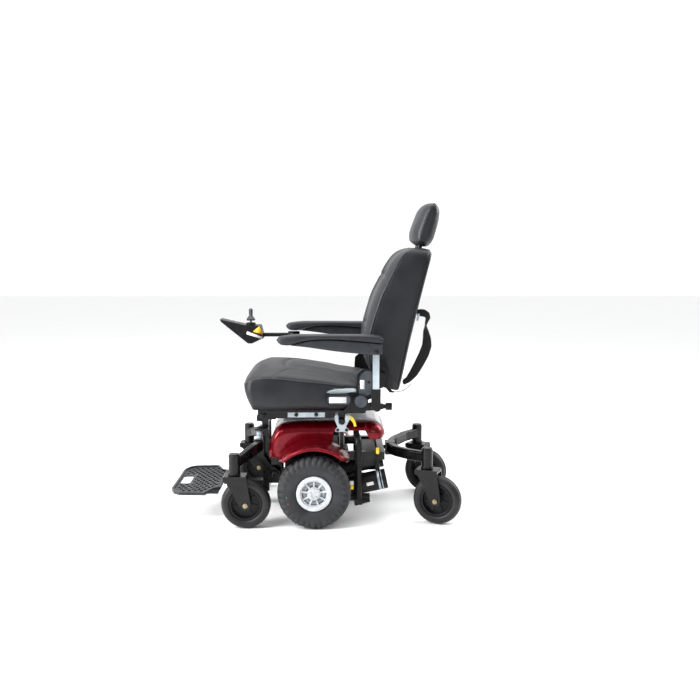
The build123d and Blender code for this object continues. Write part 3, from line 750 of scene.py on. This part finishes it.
HEAD_LINE = ((402, 986), (0.33, 0.944))
HEAD_FRONT = [(-2, 26), (2, 42), (10, 55), (50, 65), (110, 63), (140, 54), (152, 42), (158, 26)]
HEAD_REAR = [(-2, 10), (4, -6), (14, -15), (41, -21), (90, -18), (132, -10), (150, 1), (158, 18)]


def headrest(m):
    """Rounded headrest cushion; its rear and sides carry painted shade, a darker copy of the
    vinyl.
    """
    rows = []
    steps = 48
    ring = 72
    for i in range(steps + 1):
        part = i / steps
        s = -2 + 160 * (1 - math.cos(math.pi * part)) / 2
        front = smooth_between(s, HEAD_FRONT)
        rear = smooth_between(s, HEAD_REAR)
        end = min(1.0, (s + 2) / 26, (158 - s) / 34)
        half = 96 + 28 * math.sqrt(max(0, 1 - (1 - end) ** 2))
        row = []
        for k in range(ring):
            angle = 2 * math.pi * k / ring
            c, d = math.cos(angle), math.sin(angle)
            y = half * power(c, 0.58)
            mid, deep = (front + rear) / 2, (front - rear) / 2
            depth = mid + deep * power(d, 0.84)
            if d > 0:
                depth += wrinkle((s, y, 5), 0.02, 1.2)
            row.append(lean_point(HEAD_LINE, s, y, depth))
        rows.append(row)
    cushion = grid_mesh("headrest_cover", rows, close_rows=True, caps=True)
    settle(cushion, head_held, 5, rounds=12)

    # The rear and sides get the darker vinyl copy: painted shade.
    def is_side(p):
        s, depth = lean_place(HEAD_LINE, p)
        mid = (smooth_between(s, HEAD_FRONT) + smooth_between(s, HEAD_REAR)) / 2
        return depth < mid + 0.32 * (smooth_between(s, HEAD_FRONT) - mid)

    dress(cushion, m, is_side, "headrest", "headrest_cushion")


PAD_LOW = [(-127, 670), (-122, 660), (-108, 651.5), (-88, 650), (-69, 653), (-35, 662.5),
           (6, 669), (61, 670.5), (143, 665), (232, 657), (241, 663)]
PAD_TOP = [(-127, 667), (-122, 676), (-110, 681), (-46, 687), (192, 686), (232, 682), (241, 671)]
PAD_HALF = [(-127, 12), (-122, 21), (-110, 28), (-85, 31.5), (225, 31.5), (241, 26)]
SHELL_LOW = [(-78, 650), (-60, 648.5), (-7, 642), (75, 630), (150, 622), (212, 617.5),
             (230, 617.5), (238, 623)]
SHELL_TOP = [(-78, 651.2), (-69, 652), (-35, 661), (6, 667.5), (61, 669), (143, 663.5),
             (232, 655), (238, 650)]
SHELL_HALF = [(-78, 8), (-70, 16), (-30, 19), (238, 19)]


def squared_loft(name, tables, centre_y, steps, squareness):
    """Body of rounded-rectangle slices along X, from tables of low, top and half width."""
    lows, tops, halves = tables
    start, end = halves[0][0], halves[-1][0]
    rows = []
    for i in range(steps + 1):
        x = start + (end - start) * (1 - math.cos(math.pi * i / steps)) / 2
        low, top = smooth_between(x, lows), smooth_between(x, tops)
        half = smooth_between(x, halves)
        row = []
        for k in range(40):
            angle = 2 * math.pi * k / 40
            c, d = math.cos(angle), math.sin(angle)
            y = centre_y + half * power(c, squareness)
            z = (low + top) / 2 + (top - low) / 2 * power(d, squareness)
            row.append((x * MM, y * MM, z * MM))
        rows.append(row)
    return grid_mesh(name, rows, close_rows=True, caps=True)


def armrests(m):
    """Pads, their moulded shells and pivot bolts, and the clamp of the control's rod."""
    for name, side in SIDES:
        pad = squared_loft(f"armrest_pad_cover_{name}", (PAD_LOW, PAD_TOP, PAD_HALF),
                           side * 267.5, 60, 0.5)
        finish_piece(pad, m["pad"], f"armrest_{name}", [f"armrest_pad_{name}"])
        shell = squared_loft(f"armrest_shell_cover_{name}", (SHELL_LOW, SHELL_TOP, SHELL_HALF),
                             side * 277.5, 50, 0.35)
        finish_piece(shell, m["pad_shell"], f"armrest_{name}",
                     [f"armrest_shell_{name}"])
        hex_bolt(f"armrest_pivot_bolt_{name}", (217, side * 296.5, 631), (0, side, 0), 5, 3,
                 m["steel"], f"armrest_{name}")
    turned("control_rod_clamp", band(0.0088, 0.0145, 0, 0.046), (-0.118, 0.265, 0.632),
           (1, 0, 0), 40, m["moulded"], "armrest_right")


BELT_SECTION = ((-1, -1), (-0.4, -1), (0.4, -1), (1, -1), (1, 1), (0.4, 1), (-0.4, 1), (-1, 1))


def lap_belt(m):
    """Flat webbing: a loop across the top, a twist, and a long fall to the foot."""
    route = [
        ((367, 752), (0, 0.5, 0.85)), ((380, 753), (0, 0.4, 0.9)), ((394, 751), (0.2, 0.4, 0.9)),
        ((405, 744), (0.6, 0.4, 0.7)), ((407, 731), (0.9, 0.4, 0.2)), ((402, 718), (0.8, 0.6, 0)),
        ((399, 706), (0.6, 0.8, 0)), ((400, 688), (0.9, 0.3, 0)), ((404, 660), (1, 0, 0.05)),
        ((404, 634), (1, 0, -0.15)), ((393, 602), (0.93, 0, -0.35)), ((376, 568), (0.9, 0, -0.42)),
        ((357, 534), (0.84, 0, -0.5)), ((337, 510), (0.55, 0, -0.8)), ((314, 497), (0.2, 0, -1)),
    ]
    widths = [15, 16, 16, 14, 12, 9, 8, 12, 17, 20, 21, 20, 18, 13, 10]
    rows = []
    fine = 6
    for i in range(len(route) - 1):
        for k in range(fine):
            t = k / fine
            (a, u), (b, v) = route[i], route[i + 1]
            start, stop = Vector((a[0], BELT_Y, a[1])), Vector((b[0], BELT_Y, b[1]))
            centre = start.lerp(stop, t)
            across = Vector(u).lerp(Vector(v), t).normalized()
            half = widths[i] + (widths[i + 1] - widths[i]) * t
            thick = (stop - start).normalized().cross(across).normalized() * 0.9
            rows.append([(centre + across * half * sx + thick * sz) * MM
                         for sx, sz in BELT_SECTION])
    belt = grid_mesh("lap_belt_webbing", rows, close_rows=True, caps=True)
    smoothing = belt.modifiers.new("smooth", "SMOOTH")
    smoothing.iterations = 3
    belt.modifiers.new("subdivide", "SUBSURF").render_levels = 1
    finish_piece(belt, m["webbing"], "backrest", ["lap_belt"])
    plate("belt_tab", rounded_outline((371, 737), 8, 26, 3, tilt=-12), (-160, -158), m["bright"],
          "backrest", 0.0006)


# ---- wheels ------------------------------------------------------------------
def drive_tyres(m):
    """Block-tread tyre: lugs over the crown and down the shoulders."""
    lugs = 34
    columns = lugs * 10
    base = [(62.5, 26), (66, 30), (74, 33), (84, 34.5), (92, 34.8), (97, 34.8), (100, 34.6),
            (103, 34.2), (106, 33.6), (110, 32.4), (114, 30.6), (117, 28.6), (120, 25.6),
            (122.4, 22), (124, 18), (125, 13.5), (125.6, 9), (125.8, 6.5), (125.9, 5.5),
            (126, 2.5)]
    section = base + [(126, 0)] + [(r, -a) for r, a in reversed(base)]
    for name, side in SIDES:
        rows = []
        for i in range(columns):
            turn = 2 * math.pi * i / columns
            row = []
            for r, a in section:
                wave = (i / 10 + (0.5 if a > 0 else 0) + 0.012 * (126 - r)) % 1.0
                block = 1.0 if wave < 0.58 else 0.0
                out_r = out_a = 0.0
                if abs(a) < 5.6:
                    out_r = 3.6
                elif abs(a) > 6 and r > 100.5:
                    fade = min(1.0, (r - 100.5) / 4)
                    out_r = 3.8 * block * max(0.0, (r - 108) / 18) ** 0.5
                    out_a = 2.4 * block * fade * min(1.0, (126 - r) / 6)
                elif 66 < r < 72 or 88 < r < 93:
                    out_a = 0.8
                radius = min(r + out_r, 129.8)
                across = a + math.copysign(out_a, a) if a else 0.0
                row.append((radius * math.sin(turn) * MM, (side * DRIVE_TRACK + across) * MM,
                            (DRIVE_AXLE_HEIGHT + radius * math.cos(turn)) * MM))
            rows.append(row)
        rows.append(rows[0])
        tyre = grid_mesh(f"drive_tyre_tread_{name}", rows, close_rows=True)
        finish_piece(tyre, m["tyre"], f"drive_wheel_{name}",
                     [f"drive_tyre_{name}"])
        for key, angle in (("blue", 263), ("red", 249)):
            turn = math.radians(angle)
            dot = disc_outline(95.5 * math.sin(turn),
                               DRIVE_AXLE_HEIGHT + 95.5 * math.cos(turn), 2.4, 12)
            plate(f"tyre_dot_{key}_{name}", dot, (side * 306.6, side * 307.1),
                  m[f"{key}_dot"], f"drive_wheel_{name}", 0)


def rim_dishes(m):
    """Grey dish seen through the rim windows, black rings of painted shadow round its edges, and
    five wheel bolts.
    """
    for name, side in SIDES:
        across = (0, side, 0)
        centre = (0, side * DRIVE_TRACK * MM, DRIVE_AXLE_HEIGHT * MM)
        turned(f"rim_dish_{name}", band(0.0235, 0.0445, 0.0184, 0.0192), centre, across, 72,
               m["dish"], f"drive_wheel_{name}")
        # Black rings at the dish's outer and inner edges: painted shadow where the windows meet
        # the dish.
        for key, radius in (("outer", 43.4), ("inner", 24.4)):
            line = band((radius - 0.9) * MM, (radius + 0.9) * MM, 0.0192, 0.0204)
            turned(f"rim_painted_shadow_{key}_{name}", line, centre, across, 72, m["casting"],
                   f"drive_wheel_{name}")
        for k in range(5):
            angle = 2 * math.pi * k / 5 + 0.3
            spot = (13 * math.cos(angle), side * 305.2,
                    DRIVE_AXLE_HEIGHT + 13 * math.sin(angle))
            hex_bolt(f"wheel_bolt_{name}_{k}", spot, across, 2.5, 2, m["brass"],
                     f"drive_wheel_{name}")


def caster_places():
    """Name, side, swivel angle and hub centre of each caster, as the photograph shows it."""
    turns = {"front_left": 0, "front_right": 0, "rear_left": -22, "rear_right": -30}
    spots = {"front": (-280.6, 266.0), "rear": (403.5, 210.0)}
    for name, turn in turns.items():
        end, side_name = name.split("_")
        side = dict(SIDES)[side_name]
        x, y = spots[end][0], side * spots[end][1]
        angle = math.radians(turn)
        yield name, side, angle, (x + CASTER_TRAIL * math.cos(angle),
                                  y + CASTER_TRAIL * math.sin(angle), CASTER_AXLE_HEIGHT)


def caster_parts(m):
    """Ribbed solid tyres, and a brass-coloured nut at each end of every axle."""
    section = [(58, -19), (64, -22.5), (72, -23.5), (79, -22), (84, -17), (86.6, -10),
               (87.5, -5.5), (86.2, -4.2), (86.2, 4.2), (87.5, 5.5), (86.6, 10), (84, 17),
               (79, 22), (72, 23.5), (64, 22.5), (58, 19)]
    for name, side, angle, hub in caster_places():
        axis = (-math.sin(angle), math.cos(angle), 0)
        turned(f"caster_tyre_moulded_{name}", metres(section), metres([hub])[0], axis, 96,
               m["caster_rubber"], f"caster_wheel_{name}",
               [f"caster_tyre_{name}"])
        for facing in (-1, 1):
            spot = Vector(hub) + Vector(axis) * facing * 35.6
            hex_bolt(f"axle_nut_{name}_{'inner' if facing != side else 'outer'}", spot,
                     Vector(axis) * facing, 6, 4, m["brass"], f"caster_{name}")
        post = Vector(hub) - Vector((math.cos(angle), math.sin(angle), 0)) * CASTER_TRAIL
        end, side_name = name.split("_")
        top, body = (190, f"front_arm_{side_name}") if end == "front" else (197, "rear_beam")
        collar = [(0.0205, 0.0), (0.0225, 0.0005), (0.0225, 0.004), (0.0205, 0.0045)]
        for key, lift, ring, steps, material, carrier in (
                ("post_collar", 2.2, collar, 48, "steel", body),
                ("stem_washer", 0.2, band(0.010, 0.0155, 0.0, 0.0012), 40, "brass",
                 f"caster_{name}")):
            base = (post.x * MM, post.y * MM, (top + lift) * MM)
            turned(f"{key}_{name}", ring, base, UP, steps, m[material], carrier)


# ---- cover -------------------------------------------------------------------
HOOD_TOP = [(-172, 240), (-170, 262), (-158, 295), (-145, 321), (-130, 334), (-113, 342),
            (-80, 347), (-52, 349), (199, 348), (220, 345), (236, 338), (248, 327), (254, 317),
            (257, 308)]
HOOD_HALF = [(-172, 118), (-168, 134), (-155, 144), (-130, 149.5), (200, 149.5), (228, 145),
             (244, 134), (253, 116), (257, 100)]
FENDER_SECTION = [(146, 163), (150, 163.5), (175, 165.5), (210, 166.5), (250, 166),
                  (280, 165), (292, 163.5), (298, 160), (299.5, 155), (298.5, 151)]


def hood_low(x):
    """Lower edge of the cover: a wheel arch, a step and a rising tail."""
    if x < -113:
        return 222
    if x < 64:
        return 130 + math.sqrt(max(0, 160 ** 2 - x * x)) if abs(x) < 160 else 222
    if x < 66:
        return 276 + (x - 64) * 24
    if x < 185:
        return 322
    if x < 199:
        return 319 - (x - 185) * 2
    if x < 232:
        return 289.5
    return 289.5 + 13 * ((x - 232) / 25) ** 2


def hood(m):
    """Red battery cover as one thin shell over rounded arches."""
    rows = []
    steps = 120
    for i in range(steps + 1):
        x = -172 + 429 * i / steps
        top = smooth_between(x, HOOD_TOP)
        half = smooth_between(x, HOOD_HALF)
        low = min(hood_low(x), top - 8)
        radius = min(34, top - low - 1)
        wall = [(half, low + (top - radius - low) * k / 12) for k in range(13)]
        for k in range(1, 10):
            angle = math.radians(9 * k)
            wall.append((half - radius + radius * math.cos(angle),
                         top - radius + radius * math.sin(angle)))
        row = [(x, -y, z) for y, z in wall]
        for k in range(17):
            y = (-1 + 2 * k / 16) * (half - radius)
            row.append((x, y, top + 3 * (1 - (y / half) ** 2) * (1 if abs(x - 30) < 190 else 0.4)))
        row += [(x, y, z) for y, z in reversed(wall)]
        rows.append(metres(row))
    shell = grid_mesh("battery_cover_shell", rows)
    thicken(shell, 0.003, 1 if shell_points_in(shell) else -1)
    finish_piece(shell, m["red"], "chassis", ["shroud"])
    for name, side in SIDES:
        rows = []
        for i in range(73):
            angle = math.radians(141 - 101 * i / 72)
            taper = min(1, i / 6, (72 - i) / 8)
            row = []
            for y, radius in FENDER_SECTION:
                y = 146 + (y - 146) * (0.62 + 0.38 * taper)
                row.append((radius * math.cos(angle) * MM, side * y * MM,
                            (DRIVE_AXLE_HEIGHT + radius * math.sin(angle)) * MM))
            rows.append(row)
        fender = grid_mesh(f"fender_{name}", rows)
        thicken(fender, 0.0025, -1)
        finish_piece(fender, m["red"], "chassis")


def shell_points_in(piece):
    """True where the face normals of an open shell point at its middle."""
    centre = Vector((0.03, 0, 0.25))
    score = sum((p.center - centre).dot(p.normal) for p in piece.data.polygons)
    return score < 0


# ---- hardware and small trim -------------------------------------------------
def springs(m):
    """Coil springs over the front arms."""
    count = 60
    for name, side in SIDES:
        points = []
        for k in range(count + 1):
            angle = 2 * math.pi * k / 12
            z = 283.5 + 26 * k / count
            points.append(((-205 + 11 * math.cos(angle)) * MM,
                           (side * 94 + 11 * math.sin(angle)) * MM, z * MM))
        tube_along(f"coil_spring_{name}", points, 0.0019, m["bright"], f"front_arm_{name}",
                   [f"front_spring_{name}"])


# name, place with y outward, facing, radius, height, material, body
SIDE_BOLTS = [
    ("saddle_bolt_{}_83", (83, 176, 331), "out", 4, 3, "steel", "chassis"),
    ("saddle_bolt_{}_115", (115, 176, 331), "out", 4, 3, "steel", "chassis"),
    ("saddle_boss_{}", (119, 181, 380), "out", 6, 4, "bright", "chassis"),
    ("rail_bolt_{}_0", (-66, 172.4, 386), "out", 5, 3.5, "steel", "seat"),
    ("rail_bolt_{}_72", (6, 172.4, 386), "out", 5, 3.5, "steel", "seat"),
    ("spring_nut_{}", (-205, 94, 330), "up", 6.5, 5, "bright", "chassis"),
    ("arm_pivot_bolt_{}", (-150, 117.8, 150), "out", 9, 5, "steel", "chassis"),
    ("recliner_bolt_{}", (192, 245.4, 516), "out", 5, 3, "steel", "backrest"),
    ("seat_pivot_nut_{}", (-186, 181.8, 384), "out", 7, 4, "steel", "chassis"),
]


def hardware(m):
    for name, side in SIDES:
        for label, (x, y, z), facing, radius, height, material, body in SIDE_BOLTS:
            hex_bolt(label.format(name), (x, side * y, z),
                     UP if facing == "up" else (0, side, 0), radius, height, m[material], body)
    hex_bolt("beam_pivot_nut", (309, 0, 228), (1, 0, 0), 9, 6, m["bright"], "chassis")


def disc_outline(x, z, radius, count=40):
    return [(x + radius * math.cos(2 * math.pi * k / count),
             z + radius * math.sin(2 * math.pi * k / count)) for k in range(count)]


def trim_faces(m):
    """Grey faces inside the black rims of the recliner covers, and the seat guards."""
    face = [(159, 472), (157, 500), (160, 528), (168, 546), (180, 555), (192, 557),
            (202, 553), (204, 530), (204, 490), (200, 474), (188, 468), (170, 467)]
    guard = [(44, 478), (58, 486), (84, 489), (110, 492), (140, 493), (149, 488),
             (138, 480), (116, 476), (90, 474), (60, 473)]
    for name, side in SIDES:
        for key, outline, near, far, material, body, edge in (
                ("recliner_base_face", disc_outline(165, 449, 21.5), 257.8, 259, "cover_grey",
                 "seat", 0.0008),
                ("recliner_face", face, 245.2, 246.6, "cover_grey", "backrest", 0.0012),
                ("seat_guard", guard, 230.5, 235.6, "bright", "seat", 0.0009),
                ("freewheel_tip", rounded_outline((228, 251), 12, 24, 5), 158, 166, "yellow",
                 f"freewheel_{name}", 0.0015)):
            plate(f"{key}_{name}", outline, (side * near, side * far), m[material], body, edge)
    plate("recline_lever_face", rounded_outline((88, 455), 80, 31, 14), (-261, -259.8),
          m["cover_grey"], "recline_lever", 0.0008)


def motor_bands(m):
    """Bright bands and a plain tag round the rear of each drive motor."""
    lean = math.radians(12)
    axis = (math.cos(lean), 0, math.sin(lean))
    for name, side in SIDES:
        for key, start, width in (("wide", 162, 9), ("narrow", 176, 3.5)):
            base = (0.070 + start * MM * axis[0], side * 0.156, 0.107 + start * MM * axis[2])
            turned(f"motor_band_{key}_{name}", band(0.0355, 0.0366, 0, width * MM), base, axis,
                   64, m["bright"], "chassis")
        tag = rounded_outline((200, 136), 26, 12, 2, tilt=12)
        plate(f"motor_tag_{name}", tag, (side * 191.8, side * 192.5), m["white"], "chassis", 0)


def harness(m):
    """Black wiring and lock hardware bunched behind the recliner."""
    for name, side in SIDES:
        for k, (dx, dz, lean) in enumerate(((0, 0, 4), (6, -4, -3), (-5, 5, 6))):
            route = [(246 + dx, side * (236 + k), 592 + dz), (252 + dx, side * (240 - k), 560),
                     (262 + dx + lean, side * (238 + k), 528 + dz),
                     (256 + dx, side * (237 - k), 500), (266 + dx, side * 232, 484 + dz),
                     (274 + dx, side * 226, 478)]
            tube_along(f"harness_{name}_{k}", metres(route), 0.0034, m["moulded"], "seat")
        hex_bolt(f"lock_bolt_{name}", (249, side * 240, 566), (0, side, 0), 8, 5, m["moulded"],
                 "seat")


def patches(m):
    """Plain film patches where such chairs carry their labels."""
    near = 265 - 38
    films = [
        ("lever_patch", rounded_outline((84, 455), 60, 20, 3), (-261.5, -260.9), "white",
         "recline_lever"),
        ("cover_patch", rounded_outline((170, 508), 15, 32, 2), (-247, -246.5), "white",
         "backrest"),
        ("pod_patch", [(-281.4, 648.9), (-220.7, 626.3), (-222.4, 618.2), (-283.2, 637.6)],
         (near - 0.45, near - 0.05), "white", "controller"),
        ("pod_triangle", [(-257.4, 648.1), (-231.4, 670.6), (-217.4, 636)],
         (near - 0.55, near - 0.1), "orange", "controller"),
        ("frame_tag", rounded_outline((133, 146), 14, 14, 2), (-216, -215.1), "white",
         "chassis"),
        ("frame_tag_lower", rounded_outline((133, 130), 14, 16, 2), (-216, -215.1), "yellow",
         "chassis"),
    ]
    for name, outline, ys, material, body in films:
        plate(name, outline, ys, m[material], body, 0)


def main():
    make_camera()
    m = make_materials()
    make_studio()
    for build in (paint_carried, seat_cushion, backrest, headrest, armrests, lap_belt,
                  drive_tyres, rim_dishes, caster_parts, hood, springs, hardware, trim_faces,
                  motor_bands, harness, patches):
        build(m)


main()
